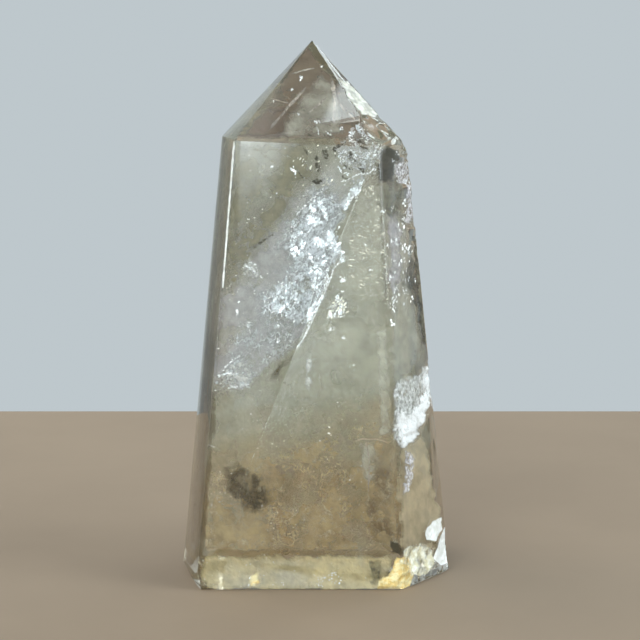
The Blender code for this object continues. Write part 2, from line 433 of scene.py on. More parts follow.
def inside_box(place):
    """The nearest place that isn't outside the CAD model's box."""
    return Vector([sorted(three)[1] for three in zip(cad_box[0], place, cad_box[1])])


def from_camera(px, py):
    """Where a sight line starts and which way it runs, as for the two below."""
    return CAMERA_PLACE, sight(px, py)


def from_left(across, up):
    return Vector((-CAST_FROM, across, up)) * MM, Vector((1, 0, 0))


def from_right(across, up):
    return Vector((CAST_FROM, across, up)) * MM, Vector((-1, 0, 0))


def film(name, outline, material, cell=1, fade=2, ragged=2, core=None, cast=from_camera, lift=FILM_LIFT):
    """A thin film on the crystal's surface, or below it, where it shows inside an outline in the picture.

    ragged is how uneven its rim is, in pixels. With cast=from_left or from_right the outline is in
    millimetres, (y, z), seen from that side.
    """
    bm, (rim_layer, core_layer), places = outline_grid(name, outline, cell, FILM_STEP)
    outside = []
    for vert, px, py, place in places:
        uneven = rough_noise(place, FILM_RAGGED) * ragged
        inside = distance_inside(px, py, outline) + uneven
        hit, normal, _, _ = SURFACE.ray_cast(*cast(px, py))
        if inside < 0 or hit is None:
            outside.append(vert)
            continue
        vert[rim_layer] = clamp(inside / fade)
        if core:
            within = distance_inside(px, py, core) + uneven
            vert[core_layer] = clamp(within / FILM_CORE_EDGE + 0.5)
        vert.co = inside_box(hit + normal * lift)
    bmesh.ops.delete(bm, geom=outside, context="VERTS")
    torn = [face for face in bm.faces if max(edge.calc_length() for edge in face.edges) > FILM_TEAR]
    bmesh.ops.delete(bm, geom=torn, context="FACES")
    return finish_piece(name, bm, material, inner=lift < 0)


def add_flake(bm, pick, middle, facing, half, turn, stretch):
    """One flat many-cornered flake. half is in metres and turn is from level, in radians."""
    level = Vector((0, 0, 1)).cross(facing).normalized()
    rising = facing.cross(level)
    sides = pick.randint(4, 7)
    corners = []
    for step in range(sides):
        angle = (step + pick.uniform(-0.3, 0.3)) / sides * tau
        reach = half * pick.uniform(0.6, 1.0)
        along, over = cos(angle) * reach, sin(angle) * reach / stretch
        across = along * cos(turn) - over * sin(turn)
        rise = along * sin(turn) + over * cos(turn)
        corners.append(bm.verts.new(middle + level * across + rising * rise))
    bm.faces.new(corners)


def flakes(name, outline, count, sizes, depths, material, slant=None, stretch=1, tilt=8, clump=None,
           face=FRONT):
    """Small flat flakes scattered in an outline: the bright facets of a fracture.

    sizes is their (smallest, largest) half length in pixels. slant is the direction that they are drawn out
    in, in degrees up from level, and stretch by how much. clump is the size in pixels of the clumps that
    they gather in.
    """
    pick = random.Random(name)
    low, high = extent(outline)
    bm = bmesh.new()
    while len(bm.faces) < count:
        px, py = (pick.uniform(low[i], high[i]) for i in range(2))
        if distance_inside(px, py, outline) < 0:
            continue
        if clump and rough_noise(Vector((px, py, outline[0][0])), clump) < pick.gauss(0.1, 0.08):
            continue
        facing = catching(pick, face, px, py, tilt)
        turn = radians(pick.uniform(0, 180) if slant is None else pick.gauss(slant, SLANT_SPREAD))
        half = pick.uniform(*sizes) * pick.uniform(0.4, 1.0) * PIXEL
        add_flake(bm, pick, behind(face, px, py, pick.uniform(*depths)), facing, half, turn, stretch)
    return finish_piece(name, bm, material)


def specks(name, places, depth, material, face=FRONT):
    """Small clusters of flakes. Each place is (across, down, half size), in pixels."""
    pick = random.Random(name)
    bm = bmesh.new()
    for px, py, half in places:
        for _ in range(FLAKES_PER_SPECK):
            facing = catching(pick, face, px, py)
            near = [pick.gauss(value, half * 0.45) for value in (px, py)]
            middle = behind(face, *near, depth * pick.uniform(0.7, 1.3))
            reach = half * pick.uniform(0.2, 0.7) * PIXEL
            add_flake(bm, pick, middle, facing, reach, pick.uniform(0, pi), SPECK_STRETCH)
    return finish_piece(name, bm, material)


def flecks(name, lines, depth, material, face=FRONT):
    """Flakes along lines. Each line is its width in pixels and then its points."""
    pick = random.Random(name)
    bm = bmesh.new()
    for width, *points in lines:
        for start, end in zip(points, points[1:]):
            slant = atan2(start[1] - end[1], end[0] - start[0])
            for _ in range(max(3, round(dist(start, end) * FLAKES_PER_PIXEL))):
                share = pick.random()
                px, py = (pick.gauss(a + (b - a) * share, width * 0.2) for a, b in zip(start, end))
                facing = catching(pick, face, px, py)
                middle = behind(face, px, py, depth * pick.uniform(0.6, 1.5))
                reach = (0.4 + width * pick.uniform(0.1, 0.4)) * PIXEL
                add_flake(bm, pick, middle, facing, reach, pick.gauss(slant, 0.35), LINE_STRETCH)
    return finish_piece(name, bm, material)


def add_streak(bm, layers, pick, face, points, width, depth):
    """A thin ragged ribbon along points in the picture, turned to catch the window."""
    rim_layer, core_layer = layers
    places = []
    for start, end in zip(points, points[1:]):
        steps = max(2, round(dist(start, end) / 2))
        for step in range(steps):
            share = step / steps
            places.append([start[i] * (1 - share) + end[i] * share for i in range(2)])
    places.append(points[-1])
    last = len(places) - 1
    before = None
    for index, (px, py) in enumerate(places):
        ahead = behind(face, *places[min(index + 1, last)], depth)
        back = behind(face, *places[max(index - 1, 0)], depth)
        to_end = min(index, last - index) / last * 2
        facing = catching(pick, face, px, py)
        side = facing.cross(ahead - back).normalized()
        half = width * min(1.0, 0.4 + 2 * to_end) * pick.uniform(0.5, 1.0) / 2 * PIXEL
        middle = behind(face, px, py, depth) + side * pick.uniform(-0.4, 0.4) * PIXEL
        row = [bm.verts.new(middle + side * half * way) for way in (-1, 1)]
        for vert in row:
            vert[rim_layer] = min(1.0, 0.3 + to_end * 2)
            vert[core_layer] = 1.0
        if before:
            bm.faces.new((*before, row[1], row[0]))
        before = row


def streaks(name, lines, depth, material, face=FRONT):
    """Ribbons, two to a line. Each line is its width in pixels and then its points."""
    pick = random.Random(name)
    bm = bmesh.new()
    layers = [bm.verts.layers.float.new(share) for share in ("rim", "core")]
    for width, *points in lines:
        for _ in range(2):
            add_streak(bm, layers, pick, face, points, width, depth * pick.uniform(0.8, 1.4))
    return finish_piece(name, bm, material)


# ---- materials


def crystal_material():
    made, tree, shader = new_material("quartz_crystal")
    feed(shader, "Base Color", (1.0, 0.995, 0.98))
    feed(shader, "IOR", QUARTZ_IOR)
    feed(shader, "Transmission Weight", 1.0)
    polish = ramp(noise_texture(tree, 0.35, 5), [(0.35, 0.02), (0.75, 0.06)])
    frost = ramp(noise_texture(tree, 1.2), [(0.4, 0.05), (0.7, 0.22)])
    skin = attribute(tree, "skin")
    feed(shader, "Roughness", mix_colour(skin, polish, frost))
    bump(shader, maths("MULTIPLY", noise_texture(tree, 1.6, 5, 0.65), skin), 0.2 * MM)
    absorb = add_node(tree, "VolumeAbsorption", {"Color": (0.55, 0.44, 0.16), "Density": 10.0})
    feed(tree.nodes["Material Output"], "Volume", absorb.outputs["Volume"])
    return made


def fracture_material(name, colour, haze, lines, patches, core=0.0, size=0.6, drawn=(0, 1)):
    """A healed fracture. haze covers all of it, and lines, patches and core add to that in its core.

    drawn is the (turn, stretch) of its grain.
    """
    made, tree, shader = new_material(f"fracture_{name}", 0.45)
    mottle(shader, colour, 0.8, (0.35, 0.55), size * 0.5, 4, *drawn)
    blots = ramp(noise_texture(tree, size * 0.6, 5, 0.6, 0.6, *drawn), [(0.48, 0.0), (0.66, 1.0)])
    crumbs = ramp(noise_texture(tree, size * 2.2, 5, 0.65, 0.3, *drawn), [(0.42, 0.1), (0.6, 1.0)])
    threads = maths("ADD", wisps(tree, size, *drawn), wisps(tree, size * 2.4, *drawn))
    cover = maths("MULTIPLY", threads, lines)
    cover = maths("ADD", cover, maths("MULTIPLY", blots, patches))
    cover = maths("ADD", cover, maths("MULTIPLY", crumbs, core))
    cover = maths("MULTIPLY", cover, attribute(tree, "core"))
    cover = maths("ADD", cover, haze)
    cover = maths("MULTIPLY", cover, attribute(tree, "rim"))
    feed(shader, "Alpha", cover)
    bump(shader, noise_texture(tree, size * 3), 0.3 * MM)
    return made


def cloud_material(name, colour, thin, thick, size=0.1):
    """A soft cloud, also used for painted shade and painted reflections: its cover runs from thin to thick.
    """
    made, tree, shader = new_material(f"cloud_{name}", 0.8)
    mottle(shader, colour, 0.82, (0.38, 0.58), size * 1.7, 5)
    cover = ramp(noise_texture(tree, size, 6, 0.6), [(0.32, thin), (0.68, thick)])
    feed(shader, "Alpha", maths("MULTIPLY", cover, attribute(tree, "rim")))
    return made


def film_material(name, dull, bright, cover, size, core=0.0):
    """Bruised or stained quartz at the surface, and painted highlights, glints and shade on it. cover is
    its (thinnest, thickest).
    """
    made, tree, shader = new_material(f"film_{name}", 0.35)
    grains = noise_texture(tree, size, 5, 0.65)
    edge = maths("MULTIPLY", attribute(tree, "core"), core)
    level = maths("ADD", grains, edge)
    feed(shader, "Base Color", ramp(level, [(0.4, dull), (0.62, bright)]))
    spread = ramp(noise_texture(tree, size * 0.6, 5, 0.65), [(0.36, cover[0]), (0.62, cover[1])])
    spread = maths("ADD", spread, edge)
    feed(shader, "Alpha", maths("MULTIPLY", spread, attribute(tree, "rim")))
    bump(shader, grains, 0.5 * MM)
    return made


def pearl_material(name, colour, size, roughness=0.5):
    """Soft silvery patches in a fracture: its facets, too fine to be seen one by one."""
    made, tree, shader = new_material(f"glint_{name}", roughness, 1.0)
    mottle(shader, colour, 0.75, (0.38, 0.6), size, 4)
    crumbs = noise_texture(tree, size * 1.4, 5, 0.65)
    feed(shader, "Alpha", ramp(crumbs, [(0.36, 0.0), (0.62, 0.85)]))
    bump(shader, noise_texture(tree, size * 1.5), 0.2 * MM)
    return made


def glint_material(name, colour, roughness):
    """The mirror-like facet of a fracture."""
    made, tree, shader = new_material(f"glint_{name}", roughness, 1.0)
    mottle(shader, colour, 0.8, (0.35, 0.6), 1.1, 3)
    bump(shader, noise_texture(tree, 3.0, 3), 0.1 * MM)
    return made


def haze_material(name, cover):
    """Milky haze: olive grey, turning brown towards the foot. cover is its (thinnest, thickest)."""
    made, tree, shader = new_material(name, 0.8)
    feed(shader, "Specular IOR Level", 0.2)
    clouds = noise_texture(tree, 0.06, 5)
    level = maths("ADD", height_above(tree, 48.0, 16.0), maths("MULTIPLY", clouds, 0.9))
    tint = ramp(level, [(0.4, HAZE_BROWN), (0.85, HAZE_PALE)])
    feed(shader, "Base Color", mix_colour(height_above(tree, 102.0, 92.0), tint, HAZE_TIP))
    spread = noise_texture(tree, 0.12, 7, 0.6)
    feed(shader, "Alpha", ramp(spread, [(0.32, cover[0]), (0.68, cover[1])]))
    return made


# ---- the crystal


def skin_share(place):
    """1 on the broken skin and 0 on polished faces."""
    if not SKIN_HEIGHTS[0] < place.z < SKIN_HEIGHTS[1]:
        return 0.0
    below = min((Vector(face[2]) * MM - place).dot(outward(*face[:2])) for face in SKIN_PLANES)
    return 1.0 if SKIN_DEPTH[0] < below < SKIN_DEPTH[1] and place.x > 0 else 0.0


def make_crystal():
    """The clear body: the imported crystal's mesh, with its broken skin marked."""
    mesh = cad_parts[NODE].data.copy()
    mesh.name = "crystal"
    bm = crystal_bmesh()
    skin_layer = bm.verts.layers.float.new("skin")
    for vert in bm.verts:
        vert[skin_layer] = skin_share(vert.co)
    bm.to_mesh(mesh)
    bm.free()
    mesh.materials.clear()
    mesh.materials.append(crystal_material())
    mesh.set_sharp_from_angle(angle=radians(SHARP_ANGLE))
    crystal = add_object("crystal", mesh)
    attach(crystal, BODY)
    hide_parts(NODE)


def make_haze():
    """Faint clouds that follow the crystal's growth, one within another."""
    for name, share, lift, top, cover in HAZE_SHELLS:
        bm = crystal_bmesh()
        hull = bmesh.ops.convex_hull(bm, input=bm.verts[:])
        inner = [item for item in hull["geom_interior"] if isinstance(item, bmesh.types.BMVert)]
        bmesh.ops.delete(bm, geom=inner, context="VERTS")
        keep = (top - lift) * MM / cad_box[1].z
        bmesh.ops.scale(bm, vec=(*share, keep), verts=bm.verts[:])
        bmesh.ops.translate(bm, vec=(0, 0, lift * MM), verts=bm.verts[:])
        piece = finish_piece(name, bm, haze_material(name, cover))
        remesh = piece.modifiers.new("even", "REMESH")
        remesh.mode = "VOXEL"
        remesh.voxel_size = HAZE_CELL
        apply_modifiers(piece)
        for vert in piece.data.vertices:
            push = rough_noise(vert.co / MM + Vector((lift, 0, 0)), HAZE_WAVE, 2) * lift * 0.3
            vert.co += vert.normal * ((push - lift * 0.15) * MM)
        piece.data.shade_smooth()


def apply_modifiers(piece):
    depsgraph = bpy.context.evaluated_depsgraph_get()
    shaped = bpy.data.meshes.new_from_object(piece.evaluated_get(depsgraph))
    piece.modifiers.clear()
    piece.data = shaped


# ---- fractures and veils

MAIN_VEIL = [
    (378, 160), (362, 188), (351, 200), (349, 215), (339, 226), (337, 235), (343, 245), (346, 257),
    (333, 267), (330, 280), (321, 302), (309, 328), (296, 350), (284, 359), (268, 367), (250, 390),
    (220, 394), (212, 384), (216, 362), (238, 340), (238, 310), (244, 285), (262, 255), (272, 230),
    (282, 208), (305, 186), (326, 170), (350, 150), (368, 145),
]
MAIN_CORE = [
    (330, 186), (318, 195), (306, 205), (290, 222), (284, 245), (292, 262), (282, 285), (262, 296),
    (262, 314), (285, 320), (304, 324), (318, 312), (326, 292), (330, 272), (344, 256), (338, 238),
    (332, 222), (345, 212), (352, 200), (364, 186), (355, 180), (345, 198), (336, 204),
]
MAIN_BRIGHTS = [
    [(329, 230), (336, 240), (344, 253), (346, 262), (341, 262), (334, 250), (329, 243), (326, 234)],
    [(311, 256), (322, 254), (330, 266), (330, 284), (324, 296), (316, 300), (312, 282), (306, 268)],
    [(314, 198), (324, 204), (328, 220), (318, 226), (306, 222), (309, 208)],
    [(290, 236), (300, 232), (306, 244), (304, 258), (294, 258), (288, 248)],
    [(352, 186), (364, 180), (360, 190), (352, 202), (346, 214), (343, 206)],
    [(312, 238), (318, 236), (328, 244), (322, 248), (314, 246)],
    [(316, 300), (322, 298), (316, 314), (308, 322), (306, 314)],
    [(270, 292), (288, 284), (300, 298), (296, 316), (274, 312)],
]
MAIN_LINES = [
    (4, (361, 188), (354, 196), (348, 202), (344, 211)),
    (2.5, (376, 166), (369, 174), (359, 174), (348, 179), (341, 182)),
    (2, (324, 188), (314, 197), (305, 206), (297, 214)), (6, (318, 200), (324, 210), (326, 219)),
    (2, (340, 225), (334, 236)), (5, (331, 238), (337, 246), (343, 255)), (4, (315, 240), (326, 246)),
    (3, (294, 240), (290, 251), (296, 258)), (6, (308, 254), (316, 266), (322, 272)),
    (4.5, (328, 270), (326, 284), (321, 298), (314, 314)), (3, (316, 273), (314, 288), (311, 302)),
    (3, (306, 236), (312, 226), (320, 222)), (2.5, (297, 289), (291, 298)),
    (3, (309, 324), (304, 339), (296, 349)), (2, (268, 290), (264, 305), (272, 312), (282, 310)),
    (1.2, (246, 322), (251, 334)), (2.6, (240, 356), (230, 362), (222, 372)),
    (2.6, (246, 266), (254, 271), (262, 278)), (2.6, (248, 262), (256, 265)),
    (3, (218, 376), (228, 373), (238, 374)), (2.5, (226, 388), (238, 386), (250, 384)),
]
BORDER_LINES = [(1.4, (346, 256), (334, 268), (330, 280), (321, 302), (309, 328), (297, 349))]
FRONT_OUTLINE = [(234, 142), (379, 150), (393, 403), (398, 551), (203, 551), (222, 285)]
FRONT_LEFT = [
    (232, 138), (345, 138), (325, 175), (290, 215), (262, 250), (240, 290), (220, 300), (220, 285),
]
LEFT_SIDE = [(-19.9, 4.5), (-0.3, 5), (3, 93.5), (-13.9, 93.5)]
CREAM_HIGH = [(292, 142), (342, 142), (330, 190), (300, 188), (286, 168)]
CREAM_EDGE = [(362, 190), (381, 182), (384, 206), (374, 212)]
CREAM_DASHES = [(345, 212), (384, 212), (390, 300), (350, 300)]
FRONT_RIGHT = [(350, 215), (386, 215), (393, 400), (330, 400), (318, 340), (346, 262)]
TIP_FACE = [(308, 44), (338, 84), (376, 142), (230, 139), (262, 104)]
TIP_LOW = [(230, 140), (258, 102), (290, 106), (290, 140)]
TIP_LEFT_EDGE = [(308, 44), (262, 96), (230, 139), (244, 139), (270, 108)]
TIP_BRIGHT = [(337, 77), (349, 81), (381, 112), (376, 119), (361, 115), (350, 102)]
FRONT_EDGE = [(233, 141), (235.4, 141), (223.8, 288), (221.6, 288)]
DARK_STREAK = [(294, 354), (286, 366), (272, 384), (266, 382), (278, 364)]
RIGHT_MIST = [(384, 212), (406, 212), (410, 262), (424, 362), (398, 386), (393, 400), (388, 320)]
RIGHT_TAN = [(398, 445), (426, 432), (438, 500), (446, 530), (430, 552), (402, 552), (398, 500)]
SHOULDER = [(339, 141), (361, 123), (379, 131), (385, 150), (375, 172), (349, 174), (337, 160)]
BROWN_CLOUD = [
    (212, 428), (235, 432), (260, 424), (300, 408), (340, 396), (370, 392), (394, 390), (398, 552),
    (203, 552), (210, 450),
]
BROWN_TOP = BROWN_CLOUD[:7]
FAN = [(338, 293), (330, 306), (327, 318), (342, 318), (349, 313), (345, 303)]
PALE_STREAKS = [
    (2, (366, 440), (369, 462), (368, 492)), (1.4, (350, 443), (362, 439), (376, 439), (390, 443)),
    (1.2, (318, 372), (322, 384), (318, 398)),
]
PALE_LOW = [(360, 442), (376, 440), (379, 476), (368, 486), (358, 470)]
PALE_BAND = [(375, 330), (387, 330), (393, 436), (379, 436)]
UMBER_RIGHT = [(372, 446), (394, 440), (397, 545), (374, 546), (362, 520), (366, 480)]
UMBER_LEFT = [(262, 462), (290, 456), (304, 470), (298, 492), (272, 494), (258, 480)]
LEFT_FOOT = [(-20.2, 4.5), (-0.5, 5), (1.5, 52), (-17, 58)]
LEFT_PATCH = [(243, 262), (252, 258), (262, 274), (258, 280), (240, 276)]
LOWER_LEFT = [(216, 383), (222, 368), (238, 360), (250, 362), (255, 375), (249, 388), (232, 391)]
VEIL_LOW = [(218, 392), (226, 352), (240, 322), (262, 312), (300, 328), (296, 350), (268, 367), (246, 390)]
WISP = [(305, 395), (303, 372), (308, 350), (313, 352), (312, 375), (312, 395)]
SMUDGE = [(222, 468), (240, 462), (264, 476), (272, 500), (264, 514), (244, 513), (226, 494)]
BASE_SPARKLE = [(313, 572), (340, 568), (342, 587), (315, 587)]
LAVENDER = [
    (196, 290), (216, 232), (250, 200), (290, 170), (330, 150), (352, 180), (340, 218), (334, 236),
    (344, 256), (332, 268), (328, 282), (320, 302), (308, 328), (296, 350), (284, 359), (268, 367),
    (248, 389), (222, 400), (190, 400),
]
LAVENDER_SOFT = [(222, 400), (190, 400), *LAVENDER[:5], (352, 180)]
TIP_CLOUD = [
    (302, 92), (318, 74), (333, 80), (341, 108), (346, 134), (320, 141), (270, 141), (282, 120),
    (294, 106),
]
BASE_BAND = [(203, 554), (395, 554), (386, 592), (206, 590), (200, 575)]
AMBER = [(375, 593), (377, 580), (388, 575), (396, 557), (410, 555), (414, 577), (408, 593)]
AMBER_LEFT = [(246, 575), (258, 572), (262, 584), (250, 588)]
WHITE_PATCH = [
    (430, 362), (422, 365), (415, 374), (402, 378), (393, 388), (393, 440), (402, 449), (414, 443),
    (421, 430), (427, 413), (432, 400), (432, 375),
]
WHITE_PATCH_EDGE = [
    (430, 362), (425, 366), (422, 376), (426, 390), (422, 402), (412, 418), (402, 412), (398, 425),
    (404, 447), (414, 441), (421, 430), (427, 413), (433, 400), (433, 375),
]
WHITE_SIDE = [(-6, 46), (-4.2, 45.5), (-2.6, 43), (-1.6, 40), (-2.8, 36.5), (-4.4, 35), (-6, 36)]
GLITTER_LINE = [(404, 450), (411, 452), (416, 458), (415, 473), (410, 490), (402, 498), (404, 470)]
RIGHT_LOW = [(403, 551), (412, 545), (424, 543), (432, 550), (436, 566), (426, 577), (412, 576), (400, 562)]
SHADE_HIGH = [(379, 146), (390, 147), (399, 151), (398, 158), (395, 162), (394, 182), (379, 182)]
SHADE_MIDDLE = [(379, 166), (393, 168), (404, 186), (402, 210), (393, 220), (381, 212)]
SHADE_EDGE = [
    (404, 268), (411, 254), (417, 262), (422, 300), (431, 362), (426, 358), (418, 324), (411, 296),
    (402, 284),
]
SHADE_LOW = [(391, 541), (401, 543), (404, 556), (392, 555)]
SHADE_BASE = [(368, 560), (382, 560), (380, 590), (371, 584)]
GLITTER_HIGH = [(394, 162), (409, 162), (411, 172), (408, 184), (398, 184), (394, 174)]
GLITTER_MIDDLE = [(384, 202), (407, 196), (417, 262), (414, 300), (390, 316), (387, 250)]
MAUVE = [(385, 212), (400, 210), (404, 240), (404, 272), (396, 300), (386, 290), (386, 240)]
RIGHT_EDGE = [(406, 181), (411, 183), (415, 214), (410, 224), (403, 222), (407, 205)]
DARK_EDGE = [(412, 236), (426, 236), (436, 352), (428, 352), (421, 330), (416, 280)]
OVAL = [(442, 516), (432, 521), (424, 532), (426, 541), (436, 541), (442, 529)]
SLIVER = [(445, 525), (438, 542), (433, 558), (440, 566), (449, 563), (448, 542)]
SHOULDER_LINES = [
    (3.5, (364, 160), (370, 153)), (3, (337, 165), (342, 172), (348, 174)), (2.6, (340, 162), (346, 160)),
    (2.4, (350, 148), (356, 156), (352, 162)), (2.2, (344, 150), (338, 157)),
    (2.4, (362, 128), (369, 134), (366, 141)), (2, (352, 133), (358, 127), (366, 124)),
    (2.6, (326, 127), (331, 133)), (2.6, (317, 122), (319, 131)), (2, (372, 142), (378, 138)),
]
SHOULDER_DARKS = [
    (9, (357, 139), (364, 142)), (5, (352, 149), (349, 159)), (5, (345, 166), (352, 170)),
    (4, (360, 147), (369, 149)), (6, (337, 147), (344, 141)), (4, (372, 126), (376, 134)),
    (5, (358, 168), (366, 172)), (4, (342, 177), (349, 180)),
]
SHOULDER_WHITE = [(338, 136), (350, 124), (366, 120), (376, 130), (370, 142), (352, 146)]
DARK_CRACKS = [
    (2.4, (273, 234), (264, 241), (254, 248)), (3.2, (266, 238), (260, 243)),
    (1.2, (273, 197), (279, 198)), (6, (309, 131), (311, 134)), (8, (316, 161), (319, 169)),
    (6, (311, 180), (321, 183)), (7, (324, 151), (328, 158)), (5, (304, 148), (307, 154)),
    (6, (333, 148), (337, 155)), (4, (298, 172), (303, 178)), (2, (352, 158), (362, 166)),
    (3, (232, 478), (240, 488), (248, 492)), (2.6, (246, 497), (265, 499)), (2.6, (248, 502), (266, 504)),
    (2.6, (246, 507), (262, 508)), (1.2, (317, 500), (319, 501)), (1.2, (312, 434), (318, 431)),
]
FRONT_SPECKS = [
    (344, 279, 4), (343, 292, 2.2), (344, 338, 2), (272, 167, 2.2), (294, 171, 4), (237, 312, 2.4),
    (239, 302, 1.6), (249, 323, 2), (278, 327, 2.4), (278, 342, 2.6), (294, 321, 1.8), (281, 285, 3),
    (365, 245, 2), (370, 270, 2), (331, 329, 2), (329, 434, 1.6), (329, 427, 1.4), (320, 441, 1.2),
    (262, 505, 1), (250, 578, 2.4),
]
TIP_SPECKS = [
    (301, 78, 2.4), (292, 90, 2.4), (321, 66, 1.8), (274, 101, 1.6), (317, 122, 3), (330, 131, 3),
    (341, 128, 2.4), (298, 114, 1.4), (348, 99, 1.4),
]
RIGHT_SPECKS = [
    (394, 311, 2.6), (392, 323, 3.4), (405, 220, 3.2), (411, 246, 3.2), (410, 252, 2.6), (405, 262, 2.4),
    (393, 208, 2.8), (384, 212, 2.4), (388, 246, 2.2), (404, 290, 3.2), (391, 277, 2.4), (395, 243, 2.4),
    (397, 153, 2), (411, 170, 2.4), (392, 160, 2.4),
]
TIP_VEINS = [
    (3.6, (306, 87), (288, 107), (268, 131)), (2.2, (326, 97), (316, 106), (307, 114)),
    (5, (331, 78), (334, 100), (333, 126)), (1.6, (291, 74), (304, 70), (315, 68)),
    (1.2, (269, 98), (280, 101), (291, 104)), (1.6, (339, 103), (344, 112)),
    (1.6, (347, 112), (354, 120)),
]
OVAL_RIM = [(1.6, (426, 542), (435, 543), (441, 532), (443, 521))]
LEFT_CRACK = [(1.6, (207, 444), (218, 448), (226, 459))]


def make_clouds():
    """Soft mists and stains inside the crystal, with painted shade and painted reflections."""
    mist = cloud_material("mist", (0.78, 0.76, 0.62), 0.22, 0.5)
    olive = cloud_material("olive", (0.4, 0.36, 0.225), 0.28, 0.74, 0.2)
    pale = cloud_material("pale", (0.88, 0.87, 0.74), 0.28, 0.6, 0.13)
    tan = cloud_material("tan", (0.92, 0.79, 0.54), 0.45, 0.75, 0.15)
    lavender = cloud_material("lavender", (0.9, 0.88, 0.94), 0.18, 0.5, 0.16)
    tip_mist = cloud_material("tip", (0.7, 0.67, 0.55), 0.25, 0.7, 0.14)
    # umber: painted reflection of the brown table top, seen in the tip.
    umber = cloud_material("umber", (0.26, 0.185, 0.125), 0.55, 0.82, 0.1)
    brown = cloud_material("brown", (0.73, 0.565, 0.31), 0.12, 0.68, 0.11)
    rust = cloud_material("rust", (0.56, 0.385, 0.19), 0.0, 0.65, 0.16)
    dark_brown = cloud_material("dark_brown", (0.34, 0.25, 0.14), 0.15, 0.7, 0.2)
    russet = cloud_material("russet", (0.46, 0.31, 0.18), 0.1, 0.55, 0.25)
    foot = cloud_material("foot", (0.2, 0.15, 0.09), 0.3, 0.85, 0.12)
    # cream: painted reflection of the wall at the base, not a cloud.
    cream = cloud_material("cream", (0.97, 0.84, 0.5), 0.5, 0.9, 0.12)
    strip = cloud_material("strip", (0.27, 0.22, 0.16), 0.25, 0.55, 0.1)
    # shade, dusk and smoke: painted shade, dark sheets where the crystal looks dark.
    shade = cloud_material("shade", (0.07, 0.06, 0.03), 0.85, 1.0, 0.5)
    dusk = cloud_material("dusk", (0.1, 0.08, 0.04), 0.35, 0.95, 0.4)
    grey_shade = cloud_material("grey_shade", (0.2, 0.19, 0.12), 0.25, 0.85, 0.5)
    smudge = cloud_material("smudge", (0.13, 0.1, 0.05), 0.1, 0.95, 0.45)
    mauve = cloud_material("mauve", (0.88, 0.84, 0.9), 0.3, 0.7, 0.4)
    sheet("mist_front", FRONT_OUTLINE, 2, mist, 4, 3, (0.6, 60))
    # The olive sheet is haze that also darkens the upper left as painted shade.
    sheet("mist_left", FRONT_LEFT, 1, olive, 3, 10, (0.4, 60))
    sheet("mist_right", FRONT_RIGHT, 2.6, pale, 3, 16, (0.8, 60))
    sheet("cloud_lavender", LAVENDER, 1.4, lavender, 2, 2.5, (0.4, 40), soft=(34, LAVENDER_SOFT))
    sheet("cloud_front", BROWN_CLOUD, 1.2, brown, 3, 3, (0.5, 40), soft=(40, BROWN_TOP))
    sheet("cloud_rust", BROWN_CLOUD, 1.9, rust, 3, 3, (0.4, 40), soft=(90, BROWN_TOP))
    # Painted reflection: the brown table top seen through the tip.
    sheet("cloud_umber", TIP_FACE, 1.6, umber, 2, 3, (0.4, 30), TIP)
    sheet("cloud_tip", TIP_CLOUD, 1.2, tip_mist, 1.5, 8, (0.4, 14), TIP)
    # Painted reflection of the table, low on the tip.
    sheet("umber_low", TIP_LOW, 1, umber, 2, 8, (0.2, 30), TIP)
    sheet("mist_tip", TIP_LEFT_EDGE, 0.7, olive, 1.5, 4, (0.2, 14), TIP)
    # Painted shade: a dark brown sheet behind the left side facet.
    film("umber_strip", LEFT_SIDE, strip, 1, 1.5, 1, cast=from_left, lift=-0.8 * MM)
    sheet("mist_side", RIGHT_MIST, 1.6, pale, 2, 5, (0.4, 30), RIGHT)
    sheet("cloud_side", RIGHT_TAN, 1.4, tan, 2, 4, (0.4, 30), RIGHT)
    sheet("umber_right", UMBER_RIGHT, 1, dark_brown, 2, 9)
    sheet("umber_left", UMBER_LEFT, 1, russet, 2, 9)
    # Painted shade: more of it low on the left side facet.
    film("umber_foot", LEFT_FOOT, foot, 1, 5, 4, cast=from_left, lift=-0.6 * MM)
    sheet("pale_low", PALE_LOW, 0.9, pale, 1.5, 5)
    sheet("pale_band", PALE_BAND, 1, pale, 1.5, 4)
    sheet("smoke_streak", DARK_STREAK, 0.6, smudge, 0.8, 3)
    # Painted reflection: the pale band of wall that the base reflects.
    sheet("cloud_base", BASE_BAND, 1.2, cream, 2, 5)
    sheet("smudge", SMUDGE, 0.6, smudge, fade=7)
    sheet("mauve_right", MAUVE, 1, mauve, fade=5, face=RIGHT)
    # Painted shade: dark sheets on the right side and in the base band.
    sheet("shade_high", SHADE_HIGH, 0.5, shade, 0.7, 1.5, (0.2, 8), RIGHT)
    sheet("shade_middle", SHADE_MIDDLE, 0.8, grey_shade, 0.8, 2.5, (0.3, 8), RIGHT)
    sheet("shade_edge", SHADE_EDGE, 0.5, dusk, 0.8, 3, (0.2, 8), RIGHT)
    sheet("shade_low", SHADE_LOW, 0.8, shade, 0.8, 2.5, (0.2, 8), RIGHT)
    sheet("shade_base", SHADE_BASE, 0.6, grey_shade, 0.8, 2.5, (0.2, 8))
    # Painted shade: dark marks round the oval chip, in the shoulder and along cracks.
    flecks("rim_oval", OVAL_RIM, 0.3, shade, RIGHT)
    flecks("shoulder_dark", SHOULDER_DARKS, 0.35, shade)
    flecks("crack_dark", DARK_CRACKS, 0.4, shade)


